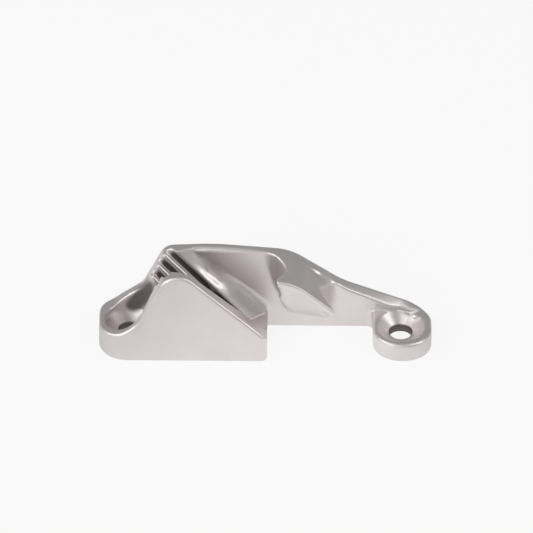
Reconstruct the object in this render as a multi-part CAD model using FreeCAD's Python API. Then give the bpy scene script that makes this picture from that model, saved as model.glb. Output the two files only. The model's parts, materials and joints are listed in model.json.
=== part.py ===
"""Side-entry jam cleat for 3 to 6 mm rope: one die-cast aluminium piece, in millimetres.

X runs along the cleat, from the jaw end to the screw lug at the far end. Y runs from the open front to the
tall back wall. Z is up, and the flat underside is Z = 0. The shape is drawn from its front left corner, and
the finished solid is moved so that the origin is the middle of its base.
"""

import FreeCAD, Part
import math
import os

# Overall
length = 82.0
depth = 17.5
band_height = 5.2            # upright foot below the parting line
draft = 0.9                  # how far the front and the ends lean in between the parting line and the top
back_draft = 0.3
outer_round = 0.7            # rounded rim of the outside faces
parting_split = 10.0         # depth at which the near and far halves of the jaw block meet

# Jaw block, at the left
jaw_length = 41.5
jaw_front_corner = 7.2
jaw_back_corner = 6.0
jaw_step_corner = 1.6
rim_height = 6.9             # rim round the left screw's bowl
peak_x = 17.9                # where the two flanks of the near jaw would meet
peak_height = 24.8           # rounded top of the near jaw
peak_radius = 5.3
entry_flank_angle = 64.5     # steep flank, on the left screw's side
exit_flank_angle = 42.6      # long flank, towards the hook
flank_foot_radius = 11.0

# Back wall
wall_front = 14.7            # front face of the bare wall
wall_height = 23.9
wall_foot_x = 3.6
wall_foot_radius = 3.0
wall_knee_x = 10.7
wall_knee_height = 12.1
wall_knee_radius = 5.0
wall_shoulder_x = 16.1
wall_shoulder_drop = 0.6
wall_shoulder_radius = 3.6
wall_crest_x = 28.0
wall_crest_radius = 60.0
wall_brow_x = 46.9
wall_brow_drop = 1.6
wall_brow_radius = 13.0
wall_bend_x = 60.0
wall_bend_height = 13.1
wall_bend_radius = 22.0
wall_tail = 1.6              # from the end of the right lug to where the wall has run out
wall_tail_height = 4.9
wall_tail_radius = 2.0

# Channel between the jaws
channel_floor = 5.0
channel_middle = 9.1         # the channel's middle plane, from the front
channel_floor_width = 2.2
channel_top_width = 10.1
channel_floor_round = 0.6

# Ramps that open the channel out towards the hook, one on each jaw
jaw_edge_top_x = 18.6        # jaw's edge, where the grip ends and the ramp begins
jaw_edge_foot_x = 36.8
ramp_top_x = 21.6            # where the ramp runs out on the wall
ramp_foot_x = 43.0
ramp_lead = 0.3              # how far the cut starts ahead of the edge, as a share of the ramp's width
near_ramp_foot_y = 4.3       # where the near jaw's ramp runs out, at the floor and at the top
near_ramp_top_y = 3.2

# Grip grooves, slanting down towards the hook
groove_count = 3
groove_pitch = 4.45          # along the cleat
groove_width = 2.1
groove_depth = 1.25
groove_overrun = 4.0         # how far a groove's cut runs on past the jaw's face

# Hook
hook_front = 3.5
hook_left_x = 43.6
hook_right_x = 58.4
hook_lip = 0.9               # thickness of the front lip
hook_brow_x = 48.8
hook_brow_drop = 3.0         # below the wall's crest, at the front plane
hook_brow_radius = 13.0
hook_tail_x = 60.6
hook_tail_height = 9.4
hook_side_middle_height = 13.0
# Left side seen from above, as (distance right of the lip's end, share of the way back to the wall)
hook_side_top = ((-3.8, 1), (-1.3, 0.96), (1.7, 0.73), (2.9, 0.45), (1.4, 0.27), (0.1, 0.13), (0, 0))
hook_side_middle = ((-0.4, 1), (0.6, 0.88), (0.8, 0.66), (0.2, 0.44), (0, 0.28), (0, 0.13), (0, 0))
hook_side_foot = ((5.2, 1), (4.4, 0.88), (2.2, 0.65), (0.9, 0.43), (0.4, 0.28), (0.1, 0.13), (0, 0))
hook_neck_x = 54.1           # narrowest point of the right neck
hook_neck_y = 8.4
hook_neck_radius = 2.6
hook_heel_x = 57.6           # where the right neck meets the wall
hook_heel_radius = 3.0
hook_heel_height = 3.9       # where the underside runs out on the wall
hook_heel_fall = 1.6         # how much lower it runs out at the right
hook_tip_round = 0.4
underside_rise = 0.4         # how much the underside rises towards its left end
underside_radius = 8.0

# Screw lugs
screw_radius = 2.7
screw_seat = 1.9             # height of the upright part of the hole
screw_inset = 7.6            # screw's centre from each end
screw_y = 10.0
bowl_y = 8.35
bowl_overrun = 0.2           # how far the bowl's slope carries on above the floor round it
bowl_ledge = 0.05            # narrow step where the slope meets the bowl's upright rim
left_bowl_radius = 6.05
right_bowl_radius = 6.75
entry_length = 1.0           # how far the left bowl is drawn out into the channel
lug_width = 14.5
lug_front = 0.45
lug_front_corner = 7.0
lug_back_corner = 6.6
lug_root_corner = 1.5
lug_rim_height = 5.1
lug_bevel = 0.5

above = peak_height + 2.0    # clear of everything, for cuts that are open at the top
outside = 1.0                # how far blocks and cuts reach past the outline


def vec(x, y, z):
    return FreeCAD.Vector(x, y, z)


def rounded(points):
    """Closed wire through corners given as (place, radius), each corner an arc that meets its two sides."""
    ends = []
    for i, (corner, radius) in enumerate(points):
        if not radius:
            ends.append((corner, None, corner))
            continue
        inward = (points[i - 1][0] - corner).normalize()
        outward = (points[(i + 1) % len(points)][0] - corner).normalize()
        half = inward.getAngle(outward) / 2
        reach = radius / math.tan(half)
        crown = (inward + outward).normalize() * (radius / math.sin(half) - radius)
        ends.append((corner + inward * reach, corner + crown, corner + outward * reach))
    edges = []
    for i, (first, crown, last) in enumerate(ends):
        if crown is not None:
            edges.append(Part.Arc(first, crown, last).toShape())
        edges.append(Part.LineSegment(last, ends[(i + 1) % len(ends)][0]).toShape())
    return Part.Wire(edges)


def prism(wire, along):
    return Part.Face(wire).extrude(along)


def ruled(*wires):
    return Part.makeLoft(list(wires), True, True)


def between(low, high, share):
    return low + (high - low) * share


# Outline seen from above

def plan_wire(z, lean, back_lean):
    """Outline at height z, with its outer faces drawn in by the draft."""
    lug_left = length - lug_width + lean
    return rounded([
        (vec(lean, lean, z), jaw_front_corner - lean),
        (vec(jaw_length, lean, z), jaw_step_corner),
        (vec(jaw_length, wall_front, z), None),
        (vec(lug_left, wall_front, z), lug_root_corner),
        (vec(lug_left, lug_front + lean, z), lug_front_corner - lean),
        (vec(length - lean, lug_front + lean, z), lug_front_corner - lean),
        (vec(length - lean, depth - back_lean, z), lug_back_corner - lean),
        (vec(lean, depth - back_lean, z), jaw_back_corner - lean),
    ])


def outline_body():
    """The outline as a solid: upright to the parting line and leaning in above it."""
    foot = prism(plan_wire(0, 0, 0), vec(0, 0, band_height))
    return foot.fuse(ruled(plan_wire(band_height, 0, 0), plan_wire(above, draft, back_draft)))


# Side views

def near_profile():
    """Near jaw from the side: the left lug's rim, the steep flank, the peak and the long flank."""
    half_turn = math.radians(entry_flank_angle + exit_flank_angle) / 2
    skew = math.radians(entry_flank_angle - exit_flank_angle) / 2
    apex = peak_height + peak_radius * (math.cos(skew) / math.cos(half_turn) - 1)
    foot_x = peak_x - (apex - rim_height) / math.tan(math.radians(entry_flank_angle))
    end_z = apex - (jaw_length + outside - peak_x) * math.tan(math.radians(exit_flank_angle))
    y = -outside
    return rounded([
        (vec(-outside, y, 0), None),
        (vec(-outside, y, rim_height), None),
        (vec(foot_x, y, rim_height), flank_foot_radius),
        (vec(peak_x, y, apex), peak_radius),
        (vec(jaw_length + outside, y, end_z), None),
        (vec(jaw_length + outside, y, 0), None),
    ])


def wall_profile(y, brow, brow_radius, bend):
    """Back wall from the side: left rim, knee, shoulder, crest and brow, and down to the right lug."""
    return rounded([
        (vec(-outside, y, 0), None),
        (vec(-outside, y, rim_height), None),
        (vec(wall_foot_x, y, rim_height), wall_foot_radius),
        (vec(wall_knee_x, y, wall_knee_height), wall_knee_radius),
        (vec(wall_shoulder_x, y, wall_height - wall_shoulder_drop), wall_shoulder_radius),
        (vec(wall_crest_x, y, wall_height), wall_crest_radius),
        (vec(brow[0], y, brow[1]), brow_radius),
        (vec(bend[0], y, bend[1]), wall_bend_radius),
        (vec(length - wall_tail, y, wall_tail_height), wall_tail_radius),
        (vec(length + outside, y, wall_tail_height), None),
        (vec(length + outside, y, 0), None),
    ])


def wall_outline(y):
    """The wall's own side view, the same at every y."""
    brow = (wall_brow_x, wall_height - wall_brow_drop)
    return wall_profile(y, brow, wall_brow_radius, (wall_bend_x, wall_bend_height))


def hook_top_outline(y):
    """Side view of the hook's top where it would reach the front plane, lower than the wall's."""
    brow = (hook_brow_x, wall_height - hook_brow_drop)
    return wall_profile(y, brow, hook_brow_radius, (hook_tail_x, hook_tail_height))


def edge_near(body, place):
    """The body's edge nearest to place."""
    probe = Part.Vertex(place)
    return min(body.Edges, key=lambda edge: edge.distToShape(probe)[0])


def rim_rounded(body, place):
    """The body with its rim rounded: the edge nearest to place and all that runs on smoothly from it."""
    return body.makeFillet(outer_round, [edge_near(body, place)])


def one_solid(shape):
    """The joined shape as one clean solid, without seams inside its flat faces."""
    return shape.removeSplitter().Solids[0]


def near_half():
    """Near side of the jaw block, up to the near jaw's rounded peak."""
    block = prism(near_profile(), vec(0, parting_split + outside, 0)).common(outline_body())
    return rim_rounded(one_solid(block), vec(peak_x, 0, peak_height))


def far_half():
    """Far side of the jaw block and the bare wall that carries on from it."""
    block = prism(wall_outline(parting_split), vec(0, depth + outside - parting_split, 0))
    ahead = Part.makeBox(length, wall_front - parting_split + outside, above,
                         vec(jaw_length, parting_split - outside, 0))
    block = one_solid(block.cut(ahead).common(outline_body()))
    return rim_rounded(block, vec(wall_crest_x, depth, wall_height))


def lug():
    """Foot of the right screw lug, which the wall stands on."""
    wide = lug_width + lug_root_corner
    block = Part.makeBox(wide + outside, depth + 2 * outside, lug_rim_height, vec(length - wide, -outside, 0))
    block = one_solid(block.common(outline_body()))
    return block.makeChamfer(lug_bevel, [edge_near(block, vec(length, bowl_y, lug_rim_height))])


def blank():
    """Jaw block, wall and lug, joined."""
    return near_half().fuse([far_half(), lug()])


# Channel, ramps and grooves

def jaw_face_y(z, side):
    """Y of a jaw's leaning face at height z; side is 1 on the far jaw and -1 on the near one."""
    share = (z - channel_floor) / (peak_height - channel_floor)
    return channel_middle + side * between(channel_floor_width, channel_top_width, share) / 2


def channel():
    """The V between the jaws, above its narrow floor."""
    section = rounded([
        (vec(screw_inset, jaw_face_y(channel_floor, -1), channel_floor), channel_floor_round),
        (vec(screw_inset, jaw_face_y(channel_floor, 1), channel_floor), channel_floor_round),
        (vec(screw_inset, jaw_face_y(above, 1), above), None),
        (vec(screw_inset, jaw_face_y(above, -1), above), None),
    ])
    return prism(section, vec(jaw_length + outside - screw_inset, 0, 0))


def ramp(side, foot_y, top_y):
    """What is cleared past a jaw's edge: a twisting ramp that runs out at foot_y below and top_y above."""
    past = ramp_foot_x + outside
    high = (above - channel_floor) / (wall_height - channel_floor)
    edge_high_x = between(jaw_edge_foot_x, jaw_edge_top_x, high)
    ramp_high_x = between(ramp_foot_x, ramp_top_x, high)
    edge = [
        vec(jaw_edge_foot_x, jaw_face_y(channel_floor, side), channel_floor),
        vec(edge_high_x, jaw_face_y(above, side), above),
        vec(past, jaw_face_y(above, side), above),
        vec(past, jaw_face_y(channel_floor, side), channel_floor),
    ]
    wall = [
        vec(ramp_foot_x, foot_y, channel_floor),
        vec(ramp_high_x, top_y, above),
        vec(past, top_y, above),
        vec(past, foot_y, channel_floor),
    ]
    ahead = [e + (e - w) * ramp_lead for e, w in zip(edge, wall)]
    return ruled(Part.makePolygon(ahead + ahead[:1]), Part.makePolygon(wall + wall[:1]))


def groove(foot_x, side):
    """One grip groove in a jaw's face, round-bottomed, that would meet the channel's floor at foot_x."""
    low = channel_floor - groove_overrun
    high = above + groove_overrun
    start = vec(foot_x + channel_floor - low, jaw_face_y(low, side), low)
    end = vec(foot_x + channel_floor - high, jaw_face_y(high, side), high)
    along = end - start
    into = vec(1, 0, 0).cross(vec(0, along.y, along.z)).normalize() * -side
    half = along.cross(into).normalize() * (groove_width / 2)
    shoulder = into * (groove_depth - groove_width / 2)
    mouth = into * -groove_width
    section = Part.Wire([
        Part.Arc(start + shoulder - half, start + into * groove_depth, start + shoulder + half).toShape(),
        Part.LineSegment(start + shoulder + half, start + mouth + half).toShape(),
        Part.LineSegment(start + mouth + half, start + mouth - half).toShape(),
        Part.LineSegment(start + mouth - half, start + shoulder - half).toShape(),
    ])
    return prism(section, along)


def grooves():
    """The grip of both jaws: the last groove of each opens on the jaw's edge."""
    last = jaw_edge_foot_x - groove_width / 2 / math.sin(math.radians(45))
    return [groove(last - i * groove_pitch, side) for side in (1, -1) for i in range(groove_count)]


# Hook

def hook_side(z, points):
    """Outline at height z of all that lies right of the hook's left side, a smooth curve."""
    root = (wall_front + depth) / 2
    right = hook_heel_x + hook_heel_radius
    side = [vec(hook_left_x + x, between(hook_front, wall_front, share), z) for x, share in points]
    curve = Part.BSplineCurve()
    curve.interpolate(side)
    corners = [side[-1], vec(right, hook_front, z), vec(right, root, z), vec(side[0].x, root, z), side[0]]
    lines = [Part.LineSegment(a, b).toShape() for a, b in zip(corners, corners[1:])]
    return Part.Wire([curve.toShape()] + lines)


def hook_plan():
    """Outline of the hook seen from above but for its left side: front lip, right neck and heel."""
    root = (wall_front + depth) / 2
    left = hook_left_x - wall_front
    right = hook_heel_x + hook_heel_radius
    return rounded([
        (vec(left, root, 0), None),
        (vec(left, hook_front, 0), None),
        (vec(hook_right_x, hook_front, 0), hook_tip_round),
        (vec(hook_neck_x, hook_neck_y, 0), hook_neck_radius),
        (vec(hook_heel_x, wall_front, 0), hook_heel_radius),
        (vec(right, wall_front, 0), None),
        (vec(right, root, 0), None),
    ])


def hook_underside():
    """What is cleared below the hook, from under its front lip back and down to the wall."""
    left = hook_left_x - wall_front
    right = hook_heel_x + hook_heel_radius + outside
    lip = wall_height - hook_brow_drop - hook_lip
    fall = (lip + hook_lip - hook_tail_height) / (hook_tail_x - hook_brow_x)

    def section(y, left_z, brow_z, right_z):
        return rounded([
            (vec(left, y, -outside), None),
            (vec(left, y, left_z), None),
            (vec(hook_brow_x, y, brow_z), underside_radius),
            (vec(right, y, right_z), None),
            (vec(right, y, -outside), None),
        ])

    front = section(hook_front, lip + underside_rise, lip, lip - (right - hook_brow_x) * fall)
    back = section(wall_front, hook_heel_height + underside_rise, hook_heel_height,
                   hook_heel_height - hook_heel_fall)
    return ruled(front, back)


def hook():
    """The hook: its outline from above, under a top that falls to the front, over a sloping underside."""
    column = ruled(hook_side(0, hook_side_foot), hook_side(hook_side_middle_height, hook_side_middle),
                   hook_side(wall_height, hook_side_top))
    column = column.common(prism(hook_plan(), vec(0, 0, above)))
    ahead = ruled(wall_outline(wall_front), hook_top_outline(0))
    within = prism(wall_outline(wall_front), vec(0, depth - wall_front, 0))
    return column.common(ahead.fuse(within)).cut(hook_underside())


# Screw holes and bowls

def bowl(x, radius, rim):
    """Screw hole and the bowl above it, a cone that leans forward, for the screw's head and the rope."""
    top = rim + bowl_overrun
    below = screw_radius / (radius - screw_radius) * (top - screw_seat)
    tip = vec(x, between(bowl_y, screw_y, 1 + below / (top - screw_seat)), screw_seat - below)
    back = math.atan2(bowl_y + radius - tip.y, top - tip.z)
    front = math.atan2(tip.y - bowl_y + radius, top - tip.z)
    lean = (front - back) / 2
    half_angle = (front + back) / 2
    axis = vec(0, -math.sin(lean), math.cos(lean))
    cone = Part.makeCone(0, above * math.tan(half_angle), above, tip, axis)
    hole = Part.makeCylinder(screw_radius, screw_seat + 2 * outside, vec(x, screw_y, -outside))
    reach = Part.makeBox(length, depth, top + outside, vec(x - length / 2, 0, -outside))
    return [hole, cone.common(reach), Part.makeCylinder(radius + bowl_ledge, above, vec(x, bowl_y, top))]


def entry():
    """The way in between the jaws: the left bowl drawn out into the channel."""
    front = bowl_y - left_bowl_radius
    back = bowl_y + left_bowl_radius
    cut = prism(Part.makePolygon([
        vec(screw_inset, front, channel_floor), vec(screw_inset + entry_length, front, channel_floor),
        vec(screw_inset + entry_length, back, channel_floor), vec(screw_inset, back, channel_floor),
        vec(screw_inset, front, channel_floor)]), vec(0, 0, above))
    end = Part.makeCylinder(left_bowl_radius, above, vec(screw_inset + entry_length, bowl_y, channel_floor))
    return [cut, end]


def cleat_body():
    body = blank()
    near_ramp = ramp(-1, near_ramp_foot_y, near_ramp_top_y)
    for cut in [channel(), ramp(1, wall_front, wall_front), near_ramp]:
        body = body.cut(cut)
    body = body.fuse(hook())
    left = bowl(screw_inset, left_bowl_radius, channel_floor)
    right = bowl(length - screw_inset, right_bowl_radius, lug_rim_height)
    for cut in left + entry() + right + grooves():
        body = body.cut(cut)
    return body.removeSplitter()


def main():
    body = cleat_body()
    body.translate(vec(-length / 2, -depth / 2, 0))
    os.makedirs("parts", exist_ok=True)
    body.exportStep("parts/cleat_body.step")
    print("solids", len(body.Solids), "valid", body.isValid(), "volume", round(body.Volume, 1))


main()
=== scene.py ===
"""Looks, stage, light and camera for a die-cast side-entry jam cleat."""

import json
import math

import bmesh
import bpy
from mathutils import Euler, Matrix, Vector


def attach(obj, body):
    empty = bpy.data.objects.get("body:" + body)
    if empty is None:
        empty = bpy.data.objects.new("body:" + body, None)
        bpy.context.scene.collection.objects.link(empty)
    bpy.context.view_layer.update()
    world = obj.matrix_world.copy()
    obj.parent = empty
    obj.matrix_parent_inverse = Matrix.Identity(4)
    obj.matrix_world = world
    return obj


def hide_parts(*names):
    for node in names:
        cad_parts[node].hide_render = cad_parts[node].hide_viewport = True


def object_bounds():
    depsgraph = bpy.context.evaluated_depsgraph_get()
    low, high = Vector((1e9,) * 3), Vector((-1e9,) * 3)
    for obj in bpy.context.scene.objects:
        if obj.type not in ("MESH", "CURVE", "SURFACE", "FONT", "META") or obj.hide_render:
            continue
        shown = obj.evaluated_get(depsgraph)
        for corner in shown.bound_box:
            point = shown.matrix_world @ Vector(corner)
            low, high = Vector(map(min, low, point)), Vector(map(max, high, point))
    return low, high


bl_info = {
    "name": "Side-entry jam cleat",
    "version": (1, 0, 0),
    "blender": (4, 5, 0),
    "location": "3D View > Sidebar > Cleat",
    "description": "Soft cast skin, finish, stage, light and camera for a die-cast jam cleat",
    "category": "Object",
}

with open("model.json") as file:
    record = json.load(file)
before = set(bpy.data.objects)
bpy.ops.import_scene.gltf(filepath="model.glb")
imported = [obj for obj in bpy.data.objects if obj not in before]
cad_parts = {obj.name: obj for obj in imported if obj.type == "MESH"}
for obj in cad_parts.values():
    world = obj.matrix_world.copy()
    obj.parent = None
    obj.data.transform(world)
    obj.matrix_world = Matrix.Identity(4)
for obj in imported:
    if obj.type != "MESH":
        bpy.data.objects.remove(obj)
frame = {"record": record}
cad_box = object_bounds()

MM = 0.001
BODY_NODE = "cleat_body"
DRAWING_CORNER = Vector(cad_box[0])

# Finish
CLOUD_WIDTH = 9 * MM         # width of the faint clouds in the skin's tone
CLOUD_TINT = (0.96, 0.95, 0.95)                       # the darker clouds, as shares of the metal's colour
CLOUD_LEVELS = (0.35, 0.65)  # noise at which the colour is the darker and the lighter one
METAL_SHARE = 0.86           # the rest is the thin matt film
SATIN_SPREAD = (-0.03, 0.04) # how far the clouds lower and raise the roughness
EDGE_POLISH = -0.03          # what a fully polished edge adds to the roughness
POCKET_GRIT = 0.2            # what a full pocket adds to the roughness
GRAIN_STRENGTH = 0.12
GRAIN_DEPTH = 0.02 * MM

# Relief that the skin carries for the finish: its name, and the millimetres at which it begins and is full
# The edge relief lightens the colour, partly as polish and partly as a painted highlight
EDGE_RELIEF = ("edge_relief", 0.06, 0.22)
# The pocket relief darkens the colour with painted shade, and raises the roughness
SHADED_POCKET_RELIEF = ("shaded_pocket_relief", -0.09, -0.3)
EDGE_BLUR = 24               # smoothing passes of the blurred skin that the relief is measured from
POCKET_BLUR = 200

# All places below are in millimetres from the drawing's corner
# Painted shade in the pockets: its share along x, what of the far ramp stays clear of it, and the hollow
# behind the left bowl, which is darkened with painted shade too
POCKET_SHARE = ((11.5, 0.0), (13.5, 1.0), (35.0, 1.0), (37.0, 0.0))
CLEAR_FROM_X = (26.0, 28.5)
CLEAR_FROM_Y = (12.4, 13.4)
HOLLOW = ((8.5, 14.5, 6.5), (13.5, 14.0, 13.5), 3.6)  # start, end and reach
HOLLOW_SHADE = 0.8
HOLE_WALL_SHADE = 0.85
HOLE_MARGIN = (0.5, 0.1)     # distance from a screw hole's wall over which it counts as a pocket

# Slight twists of the casting, as (x, value), and the runs of y, z or depth over which they come and go
WALL_SOFT_LINE = ((54.5, 13.7), (60.5, 10.1), (65.9, 5.2), (70.0, 4.9))
WALL_TOP_LINE = ((46.9, 22.3), (54.5, 16.9), (60.5, 12.9), (66.4, 9.8), (74.3, 7.2), (79.0, 5.3))
WALL_START = (12.4, 13.2)
WALL_TOP_FALL = ((56.0, 0.0), (59.0, 0.9), (66.0, 1.2), (74.0, 1.7), (78.0, 0.4), (79.5, 0.0))
WALL_TOP_BACK = 17.3         # from here to the back the wall's top stays as it is
WALL_TOP_WIDTH = 2.6
WALL_TOP_DEPTH = (2.6, 0.4)
WALL_LEAN = ((57.5, 0.0), (61.0, 0.4), (70.0, 0.5), (78.0, 0.0))
WALL_LEAN_END = (17.0, 14.9)
HOOK_TOP_DROP = ((50.6, 0.0), (57.0, 1.1), (58.5, 1.1), (60.0, 0.0))
HOOK_TOP_RUN = (4.0, 13.0)
HOOK_ROOT = (14.4, 13.6)
HOOK_TOP_DEPTH = (5.0, 1.2)
RAMP_EDGE_TOP = (21.6, 24.0) # x and z
RAMP_EDGE_SLOPE = -0.888
RAMP_EDGE_BEND = ((23.0, 0.0), (26.5, -1.1), (29.0, -1.2), (32.3, 0.1), (35.0, 0.8), (37.5, 0.7), (42.0, 0.0))
RAMP_EDGE_REACH = (5.0, 1.0)
RAMP_EDGE_FRONT = (11.5, 14.0)
RAMP_EDGE_BACK = (16.0, 15.0)
RAMP_EDGE_UPPER = (23.6, 21.0)

# Inner corners and edges that the casting rounds more, as start, end and reach
BLENDS = (
    ((47.0, 14.7, 4.6), (59.5, 14.7, 3.4), 2.6),
    ((25.0, 14.7, 20.5), (42.5, 14.7, 5.6), 1.2),
    ((43.7, 4.5, 19.5), (44.2, 9.0, 12.5), 2.4),
    ((44.2, 9.0, 12.5), (46.2, 13.8, 6.0), 2.4),
    ((54.2, 11.3, 16.4), (57.0, 15.0, 15.2), 2.2),
    ((23.5, 14.7, 23.7), (42.0, 14.7, 23.4), 0.9),
)
SOLE_HEIGHT = 1.2            # below it nothing is blended, so that the cleat stands on a flat sole

# Stage: how much of the floor's own pale glow the camera and the metal see, the metal less beside the cleat
FLOOR_SIZE = 2.0
CAMERA_SHARE = 0.88
POOL_SHARES = (0.88, 0.25)   # inside the pool of light and outside it
POOL_MIDDLE = (5 * MM, -16 * MM, 0)
POOL_RIM = (22 * MM, 48 * MM)
ROOM_LEVEL = 0.3
SENSOR_WIDTH = 36.0

# Softboxes, aimed at the cleat: name, place and size in metres, power in watts
SOFTBOXES = (
    ("front_softbox", (-0.3, -0.95, 0.65), (0.9, 0.6), 1.8),
    ("low_left_softbox", (-0.7, -0.72, 0.3), (0.4, 0.3), 1.1),
    ("left_softbox", (-0.93, -0.11, 0.56), (0.5, 0.45), 2.1),
    ("right_softbox", (0.9, -0.22, 0.53), (0.45, 0.4), 1.5),
    ("upper_left_softbox", (-0.5, -0.22, 0.85), (0.4, 0.5), 1.0),
    ("upper_right_softbox", (0.5, -0.22, 0.85), (0.4, 0.5), 1.0),
)


def linear(hex_colour):
    """Turn an sRGB hex colour such as "B8B2AE" into the linear RGBA that sockets take."""
    out = []
    for i in (0, 2, 4):
        c = int(hex_colour[i:i + 2], 16) / 255
        out.append(c / 12.92 if c <= 0.04045 else ((c + 0.055) / 1.055) ** 2.4)
    return (*out, 1.0)


def add_node(tree, kind, settings=None, inputs=None, links=None):
    """Add one node, set its fields and socket values, and link its inputs from other nodes' outputs."""
    node = tree.nodes.new(kind)
    for field, value in (settings or {}).items():
        setattr(node, field, value)
    for socket, value in (inputs or {}).items():
        node.inputs[socket].default_value = value
    for socket, source in (links or {}).items():
        tree.links.new(source, node.inputs[socket])
    return node


class CastingSettings(bpy.types.PropertyGroup):
    fine_grid: bpy.props.FloatProperty(
        name="Fine grid", description="Grid on which the sharp solid is first rounded, free of steps",
        default=0.12 * MM, min=0.1 * MM, unit="LENGTH")
    edge_passes: bpy.props.IntProperty(
        name="Edge softening", description="How often the fine skin is smoothed, which rounds every edge",
        default=54, min=0, max=80)
    skin_grid: bpy.props.FloatProperty(
        name="Skin grid", description="Grid that the finished skin is built on", default=0.24 * MM,
        min=0.2 * MM, unit="LENGTH")
    blend_passes: bpy.props.IntProperty(
        name="Blend softening", description="How often the casting's rounded inner corners are smoothed",
        default=120, min=0, max=400)
    kept_share: bpy.props.FloatProperty(
        name="Kept share", description="Share of the skin's faces that is kept", default=0.68, min=0.1, max=1,
        subtype="FACTOR")
    metal_colour: bpy.props.FloatVectorProperty(
        name="Metal colour", description="Colour of the tumbled casting", subtype="COLOR", size=4,
        min=0, max=1, default=linear("EAE3E3"))
    # Lighter edges: partly the grit's polish, partly a painted highlight
    edge_polish_highlight_colour: bpy.props.FloatVectorProperty(
        name="Edge colour", description="Colour of the edges that the grit polished", subtype="COLOR", size=4,
        min=0, max=1, default=linear("F0ECEC"))
    # The pockets' dark colour is painted shade; their roughness is the grit's
    pocket_shade_colour: bpy.props.FloatVectorProperty(
        name="Pocket colour", description="Colour of the pockets that the grit didn't reach", subtype="COLOR",
        size=4, min=0, max=1, default=linear("68595A"))
    metal_roughness: bpy.props.FloatProperty(
        name="Roughness", description="Mean roughness of the satin skin", default=0.38, min=0, max=1)
    grain_size: bpy.props.FloatProperty(
        name="Grain size", description="Width of one grain of the tumbled skin", default=0.35 * MM,
        min=0.05 * MM, unit="LENGTH")


class StageSettings(bpy.types.PropertyGroup):
    elevation: bpy.props.FloatProperty(
        name="Camera elevation", description="Angle of the camera above the floor",
        default=math.radians(36.6), subtype="ANGLE")
    roll: bpy.props.FloatProperty(
        name="Camera roll", description="Turn of the camera about its own line of sight",
        default=math.radians(0.43), subtype="ANGLE")
    focal_length: bpy.props.FloatProperty(
        name="Focal length", description="Focal length of the camera in millimetres", default=500.0)
    framed_width: bpy.props.FloatProperty(
        name="Framed width", description="Width of the picture at the cleat", default=131.1 * MM,
        unit="LENGTH")
    aim_right: bpy.props.FloatProperty(
        name="Aim right", description="How far right of the cleat's middle the camera aims",
        default=0.17 * MM, unit="LENGTH")
    aim_up: bpy.props.FloatProperty(
        name="Aim up", description="How far above the cleat's middle the camera aims, in the picture",
        default=8.33 * MM, unit="LENGTH")
    floor_colour: bpy.props.FloatVectorProperty(
        name="Floor colour", description="Colour of the paper sweep", subtype="COLOR", size=4,
        min=0, max=1, default=linear("F4F5F4"))


def relief_mask(tree, relief):
    """0 to 1 as the relief that the skin carries under a name rises between the two levels given with it."""
    name, low, high = relief
    level = add_node(tree, "ShaderNodeAttribute", {"attribute_name": name}).outputs["Fac"]
    return add_node(tree, "ShaderNodeMapRange", {"interpolation_type": "SMOOTHSTEP"}, {
        "From Min": low, "From Max": high}, {"Value": level}).outputs["Result"]


def tumbled_aluminium(settings):
    """Die-cast aluminium, tumbled with ceramic grit and thinly anodised: a soft satin with a faint fine grain.
    The grit polishes the edges; their lighter colour is partly that polish and partly a painted highlight. The
    grit leaves the pockets of the grooves rough; their dark colour is painted shade, as is that of the hollow
    behind the left bowl and of the screw holes' walls. The grain is coarser than the real one, which would be
    too fine to see."""
    material = bpy.data.materials.new("tumbled_die_cast_aluminium")
    material.use_nodes = True
    tree = material.node_tree
    tree.nodes.clear()
    place = add_node(tree, "ShaderNodeTexCoord").outputs["Object"]
    grain = add_node(tree, "ShaderNodeTexNoise", inputs={
        "Scale": 1 / settings.grain_size, "Detail": 3.0, "Roughness": 0.6}, links={"Vector": place})
    cloud = add_node(tree, "ShaderNodeTexNoise", inputs={
        "Scale": 1 / CLOUD_WIDTH, "Detail": 2.0, "Roughness": 0.5}, links={"Vector": place})
    edge = relief_mask(tree, EDGE_RELIEF)
    pocket = relief_mask(tree, SHADED_POCKET_RELIEF)
    base = settings.metal_colour
    shade = add_node(tree, "ShaderNodeValToRGB", links={"Fac": cloud.outputs["Fac"]})
    colours = ((*(value * tint for value, tint in zip(base, CLOUD_TINT)), 1), base)
    for stop, level, colour in zip(shade.color_ramp.elements, CLOUD_LEVELS, colours):
        stop.position = level
        stop.color = colour
    # Partly polish, partly a painted highlight: the edges turn to the lighter edge colour
    polished = add_node(tree, "ShaderNodeMix", {"data_type": "RGBA"}, {"B": settings.edge_polish_highlight_colour}, {
        "Factor": edge, "A": shade.outputs["Color"]})
    # Painted shade: the pockets, the hollow and the screw holes' walls turn to the darker pocket colour
    finished = add_node(tree, "ShaderNodeMix", {"data_type": "RGBA"}, {"B": settings.pocket_shade_colour}, {
        "Factor": pocket, "A": polished.outputs["Result"]})
    satin = add_node(tree, "ShaderNodeMapRange", inputs={
        "From Min": 0.3, "From Max": 0.7, "To Min": settings.metal_roughness + SATIN_SPREAD[0],
        "To Max": settings.metal_roughness + SATIN_SPREAD[1]}, links={
        "Value": cloud.outputs["Fac"]}).outputs["Result"]
    worn = add_node(tree, "ShaderNodeMath", {"operation": "MULTIPLY_ADD"}, {1: EDGE_POLISH}, {
        0: edge, 2: satin}).outputs["Value"]
    rough = add_node(tree, "ShaderNodeMath", {"operation": "MULTIPLY_ADD"}, {1: POCKET_GRIT}, {
        0: pocket, 2: worn}).outputs["Value"]
    bump = add_node(tree, "ShaderNodeBump", inputs={"Strength": GRAIN_STRENGTH, "Distance": GRAIN_DEPTH},
                    links={"Height": grain.outputs["Fac"]})
    shader = add_node(tree, "ShaderNodeBsdfPrincipled", inputs={"Metallic": METAL_SHARE}, links={
        "Base Color": finished.outputs["Result"], "Roughness": rough, "Normal": bump.outputs["Normal"]})
    add_node(tree, "ShaderNodeOutputMaterial", links={"Surface": shader.outputs["BSDF"]})
    return material


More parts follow.
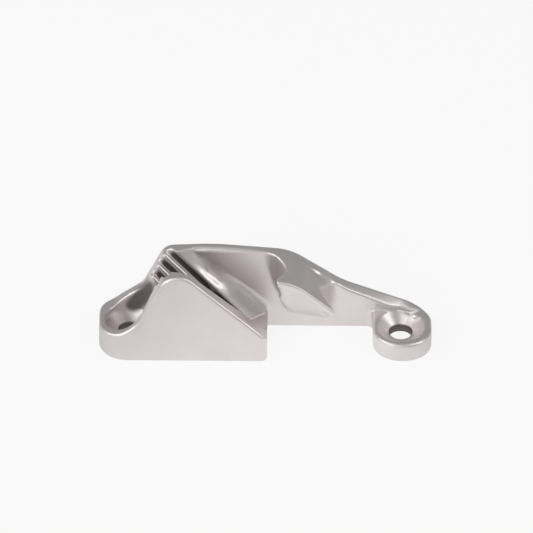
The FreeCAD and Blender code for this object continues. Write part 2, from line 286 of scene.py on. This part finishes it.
def paper_sweep(settings):
    """Matt white paper: the camera and the metal see it pale, and it keeps the cleat's shadow. What the metal
    sees of it darkens beside the cleat's ends, as at the rim of a pool of light."""
    material = bpy.data.materials.new("matt_paper_sweep")
    material.use_nodes = True
    tree = material.node_tree
    tree.nodes.clear()
    rays = add_node(tree, "ShaderNodeLightPath")
    place = add_node(tree, "ShaderNodeTexCoord").outputs["Object"]
    aside = add_node(tree, "ShaderNodeVectorMath", {"operation": "DISTANCE"}, {1: POOL_MIDDLE}, {0: place})
    pool = add_node(tree, "ShaderNodeMapRange", inputs={
        "From Min": POOL_RIM[0], "From Max": POOL_RIM[1], "To Min": POOL_SHARES[0],
        "To Max": POOL_SHARES[1]}, links={"Value": aside.outputs["Value"]})
    mirrored = add_node(tree, "ShaderNodeMath", {"operation": "MULTIPLY"}, links={
        0: rays.outputs["Is Glossy Ray"], 1: pool.outputs["Result"]})
    share = add_node(tree, "ShaderNodeMath", {"operation": "MULTIPLY_ADD"}, {1: CAMERA_SHARE}, {
        0: rays.outputs["Is Camera Ray"], 2: mirrored.outputs["Value"]})
    paper = add_node(tree, "ShaderNodeBsdfDiffuse", inputs={"Color": settings.floor_colour})
    glow = add_node(tree, "ShaderNodeEmission", inputs={"Color": linear("FDFEFD"), "Strength": 1.0})
    mixed = add_node(tree, "ShaderNodeMixShader", links={
        0: share.outputs["Value"], 1: paper.outputs["BSDF"], 2: glow.outputs["Emission"]})
    add_node(tree, "ShaderNodeOutputMaterial", links={"Surface": mixed.outputs["Shader"]})
    return material


def from_corner(point):
    """A point in millimetres from the cleat's front left foot corner, where the drawing starts."""
    return (point - DRAWING_CORNER) / MM


def along(x, stations):
    """The value at x on a line of straight runs through the stations, given as (x, value)."""
    if x <= stations[0][0]:
        return stations[0][1]
    for (x0, v0), (x1, v1) in zip(stations, stations[1:]):
        if x <= x1:
            return v0 + (v1 - v0) * (x - x0) / (x1 - x0)
    return stations[-1][1]


def eased(value, low, high):
    """0 below low and 1 above high, with a smooth rise between. It falls where low is above high."""
    share = min(max((value - low) / (high - low), 0.0), 1.0)
    return share * share * (3 - 2 * share)


def lean_wall(vert, x, y, z):
    """Above its soft line, the bare wall leans out over its foot, more and more towards the right lug."""
    rise = eased(z, along(x, WALL_SOFT_LINE), along(x, WALL_TOP_LINE))
    vert.co.y -= along(x, WALL_LEAN) * rise * eased(y, *WALL_START) * eased(y, *WALL_LEAN_END) * MM


def slope_wall_top(vert, x, y, z):
    """Right of the hook, the wall's top slopes down to its front edge."""
    depth = along(x, WALL_TOP_LINE) - z
    front_share = min(max((WALL_TOP_BACK - y) / WALL_TOP_WIDTH, 0.0), 1.0)
    vert.co.z -= along(x, WALL_TOP_FALL) * front_share * eased(y, *WALL_START) * eased(
        depth, *WALL_TOP_DEPTH) * MM


def drop_hook_top(vert, x, y, z):
    """Towards its right end, the hook's top falls away below the wall's top edge."""
    depth = along(x, WALL_TOP_LINE) - z
    vert.co.z -= along(x, HOOK_TOP_DROP) * eased(y, *HOOK_ROOT) * eased(y, *HOOK_TOP_RUN) * eased(
        depth, *HOOK_TOP_DEPTH) * MM


def bend_ramp_edge(vert, x, y, z):
    """The far ramp's edge on the wall is a long S, not a straight line."""
    line = RAMP_EDGE_TOP[1] + (x - RAMP_EDGE_TOP[0]) * RAMP_EDGE_SLOPE
    vert.co.z += along(x, RAMP_EDGE_BEND) * eased(abs(z - line), *RAMP_EDGE_REACH) * eased(
        y, *RAMP_EDGE_FRONT) * eased(y, *RAMP_EDGE_BACK) * eased(z, *RAMP_EDGE_UPPER) * MM


def nearness(place, start, end, reach):
    """1 on the line from start to end, falling to 0 at reach from it."""
    run = end - start
    offset = place - start
    share = min(max(offset.dot(run) / run.length_squared, 0.0), 1.0)
    return eased((offset - run * share).length, reach, reach / 3)


def blend_corners(piece, passes):
    """Smooth the skin along the lines in BLENDS."""
    lines = [(Vector(start), Vector(end), reach) for start, end, reach in BLENDS]
    group = piece.vertex_groups.new(name="blends")
    for point in piece.data.vertices:
        place = from_corner(point.co)
        weight = max(nearness(place, *line) for line in lines)
        if weight > 0 and place.z > SOLE_HEIGHT:
            group.add([point.index], weight, "REPLACE")
    add_smoothing(piece, passes).vertex_group = group.name
    piece.data = finished_mesh(piece)
    piece.modifiers.clear()
    piece.vertex_groups.clear()


def finished_mesh(piece):
    """The piece's mesh with its modifiers applied."""
    bpy.context.view_layer.update()
    return bpy.data.meshes.new_from_object(piece.evaluated_get(bpy.context.evaluated_depsgraph_get()))


def add_smoothing(piece, passes):
    """Add a modifier that smooths the piece a number of times, and return it."""
    smooth = piece.modifiers.new("smooth", "SMOOTH")
    smooth.factor = 0.5
    smooth.iterations = passes
    return smooth


def reskin(piece, grid, passes):
    """Give the piece an even skin on a grid, smoothed a number of times."""
    skin = piece.modifiers.new("skin", "REMESH")
    skin.mode = "VOXEL"
    skin.voxel_size = grid
    add_smoothing(piece, passes)
    piece.data = finished_mesh(piece)
    piece.modifiers.clear()


def mark_relief(piece, name, passes):
    """Note on each point how far it stands out of the blurred skin, in millimetres, for the finish."""
    add_smoothing(piece, passes)
    blurred = finished_mesh(piece)
    piece.modifiers.clear()
    relief = piece.data.attributes.new(name, "FLOAT", "POINT")
    for point, level, mark in zip(piece.data.vertices, blurred.vertices, relief.data):
        mark.value = (point.co - level.co).dot(point.normal) / MM
    bpy.data.meshes.remove(blurred)


def mark_shaded_pockets(piece):
    """Note where the skin gets painted shade, and where the grit leaves it rough: the jaws' pockets, the
    hollow and the screw holes' walls.
    """
    mark_relief(piece, SHADED_POCKET_RELIEF[0], POCKET_BLUR)
    screws = next(mount for mount in frame["record"]["mounts"] if mount["name"] == "screws")
    sizes = screws["dims"]
    middle = Vector(screws["pos_m"][:2])
    half_spacing = Vector((sizes["spacing_x_mm"] / 2 * MM, 0))
    start, end, reach = Vector(HOLLOW[0]), Vector(HOLLOW[1]), HOLLOW[2]
    marks = piece.data.attributes[SHADED_POCKET_RELIEF[0]].data
    for point, mark in zip(piece.data.vertices, marks):
        place = from_corner(point.co)
        aside = min((point.co.xy - middle - way).length for way in (half_spacing, -half_spacing))
        # The screw holes' walls and the hollow are darkened with painted shade by place, the pockets by their
        # relief
        hole = HOLE_WALL_SHADE * eased(aside / MM - sizes["hole_r_mm"], *HOLE_MARGIN)
        hollow = HOLLOW_SHADE * nearness(place, start, end, reach)
        clear = eased(place.x, *CLEAR_FROM_X) * eased(place.y, *CLEAR_FROM_Y)
        pocket = mark.value * along(place.x, POCKET_SHARE) * (1 - clear)
        mark.value = min(pocket, SHADED_POCKET_RELIEF[2] * max(hole, hollow))


def twist_skin(piece):
    """Give the skin the slight twists of the casting, and keep it inside the solid's box."""
    shape = bmesh.new()
    shape.from_mesh(piece.data)
    for vert in shape.verts:
        x, y, z = from_corner(vert.co)
        lean_wall(vert, x, y, z)
        slope_wall_top(vert, x, y, z)
        drop_hook_top(vert, x, y, z)
        bend_ramp_edge(vert, x, y, z)
        vert.co = [min(max(value, low), high) for value, low, high in zip(vert.co, *cad_box)]
    shape.to_mesh(piece.data)
    shape.free()


def cast_skin(settings):
    """A copy of the solid as one even skin, with the soft edges, blends and slight twists of the casting."""
    mesh = bpy.data.objects[BODY_NODE].data.copy()
    shape = bmesh.new()
    shape.from_mesh(mesh)
    bmesh.ops.remove_doubles(shape, verts=shape.verts, dist=0.001 * MM)
    shape.to_mesh(mesh)
    shape.free()
    piece = bpy.data.objects.new("casting", mesh)
    bpy.context.scene.collection.objects.link(piece)
    reskin(piece, settings.fine_grid, settings.edge_passes)
    reskin(piece, settings.skin_grid, 2)
    twist_skin(piece)
    blend_corners(piece, settings.blend_passes)
    mark_relief(piece, EDGE_RELIEF[0], EDGE_BLUR)
    mark_shaded_pockets(piece)
    thin = piece.modifiers.new("thin", "DECIMATE")
    thin.ratio = settings.kept_share
    piece.data = finished_mesh(piece)
    piece.modifiers.clear()
    piece.data.materials.clear()
    for polygon in piece.data.polygons:
        polygon.use_smooth = True
    return piece


class CLEAT_OT_casting(bpy.types.Operator):
    """Build the casting's soft skin on the solid and give it its tumbled aluminium finish"""
    bl_idname = "cleat.casting"
    bl_label = "Casting"

    def execute(self, context):
        if bpy.data.objects.get(BODY_NODE) is None:
            raise RuntimeError("the casting isn't in the frame")
        settings = context.scene.cleat_casting
        piece = cast_skin(settings)
        piece.data.materials.append(tumbled_aluminium(settings))
        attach(piece, "root")
        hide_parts(BODY_NODE)
        return {"FINISHED"}


class CLEAT_OT_stage(bpy.types.Operator):
    """Set the floor, the soft lights, the pale surroundings and the camera"""
    bl_idname = "cleat.stage"
    bl_label = "Stage"

    def execute(self, context):
        settings = context.scene.cleat_stage
        add_floor(settings)
        for softbox in SOFTBOXES:
            add_softbox(*softbox)
        add_surroundings(context.scene)
        add_camera(context.scene, settings)
        return {"FINISHED"}


def add_floor(settings):
    """Lay the paper floor under the cleat, as part of the stage."""
    mesh = bpy.data.meshes.new("floor")
    shape = bmesh.new()
    bmesh.ops.create_grid(shape, x_segments=1, y_segments=1, size=FLOOR_SIZE)
    shape.to_mesh(mesh)
    shape.free()
    floor = bpy.data.objects.new("floor", mesh)
    bpy.context.scene.collection.objects.link(floor)
    mesh.materials.append(paper_sweep(settings))


def add_softbox(name, place, size, power):
    """Hang one softbox, turned to the cleat."""
    light = bpy.data.lights.new(name, "AREA")
    light.shape = "RECTANGLE"
    light.size, light.size_y = size
    light.energy = power
    lamp = bpy.data.objects.new(name, light)
    lamp.location = place
    lamp.rotation_euler = (-Vector(place)).to_track_quat("-Z", "Y").to_euler()
    bpy.context.scene.collection.objects.link(lamp)


def add_surroundings(scene):
    """Surround the stage with an even, dim white."""
    world = bpy.data.worlds.new("pale_room")
    world.use_nodes = True
    tree = world.node_tree
    tree.nodes.clear()
    sky = add_node(tree, "ShaderNodeBackground", inputs={"Color": linear("FFFFFF"), "Strength": ROOM_LEVEL})
    add_node(tree, "ShaderNodeOutputWorld", links={"Surface": sky.outputs["Background"]})
    scene.world = world


def add_camera(scene, settings):
    """Aim the camera square at the cleat's front, with the cleat a little below the picture's middle."""
    lens = settings.focal_length
    camera_data = bpy.data.cameras.new("camera")
    camera_data.lens = lens
    camera_data.sensor_width = SENSOR_WIDTH
    camera_data.clip_start = 0.01
    camera = bpy.data.objects.new("camera", camera_data)
    turn = Euler((math.radians(90) - settings.elevation, 0, 0)).to_matrix()
    low, high = (Vector(corner) for corner in cad_box)
    distance = settings.framed_width * lens / SENSOR_WIDTH
    camera.location = (low + high) / 2 + turn @ Vector((settings.aim_right, settings.aim_up, distance))
    camera.rotation_euler = (turn @ Euler((0, 0, settings.roll)).to_matrix()).to_euler()
    scene.collection.objects.link(camera)
    scene.camera = camera


class CLEAT_PT_panel(bpy.types.Panel):
    """Buttons for the casting and the stage"""
    bl_label = "Jam cleat"
    bl_idname = "CLEAT_PT_panel"
    bl_space_type = "VIEW_3D"
    bl_region_type = "UI"
    bl_category = "Cleat"

    def draw(self, context):
        column = self.layout.column()
        for name in CastingSettings.__annotations__:
            column.prop(context.scene.cleat_casting, name)
        column.operator(CLEAT_OT_casting.bl_idname)
        for name in StageSettings.__annotations__:
            column.prop(context.scene.cleat_stage, name)
        column.operator(CLEAT_OT_stage.bl_idname)


CLASSES = (CastingSettings, StageSettings, CLEAT_OT_casting, CLEAT_OT_stage, CLEAT_PT_panel)


def register():
    for cls in CLASSES:
        bpy.utils.register_class(cls)
    bpy.types.Scene.cleat_casting = bpy.props.PointerProperty(type=CastingSettings)
    bpy.types.Scene.cleat_stage = bpy.props.PointerProperty(type=StageSettings)


def unregister():
    del bpy.types.Scene.cleat_stage
    del bpy.types.Scene.cleat_casting
    for cls in reversed(CLASSES):
        bpy.utils.unregister_class(cls)


def main():
    register()
    bpy.context.scene.view_settings.view_transform = "Standard"
    bpy.ops.cleat.casting()
    bpy.ops.cleat.stage()


if __name__ == "__main__":
    main()
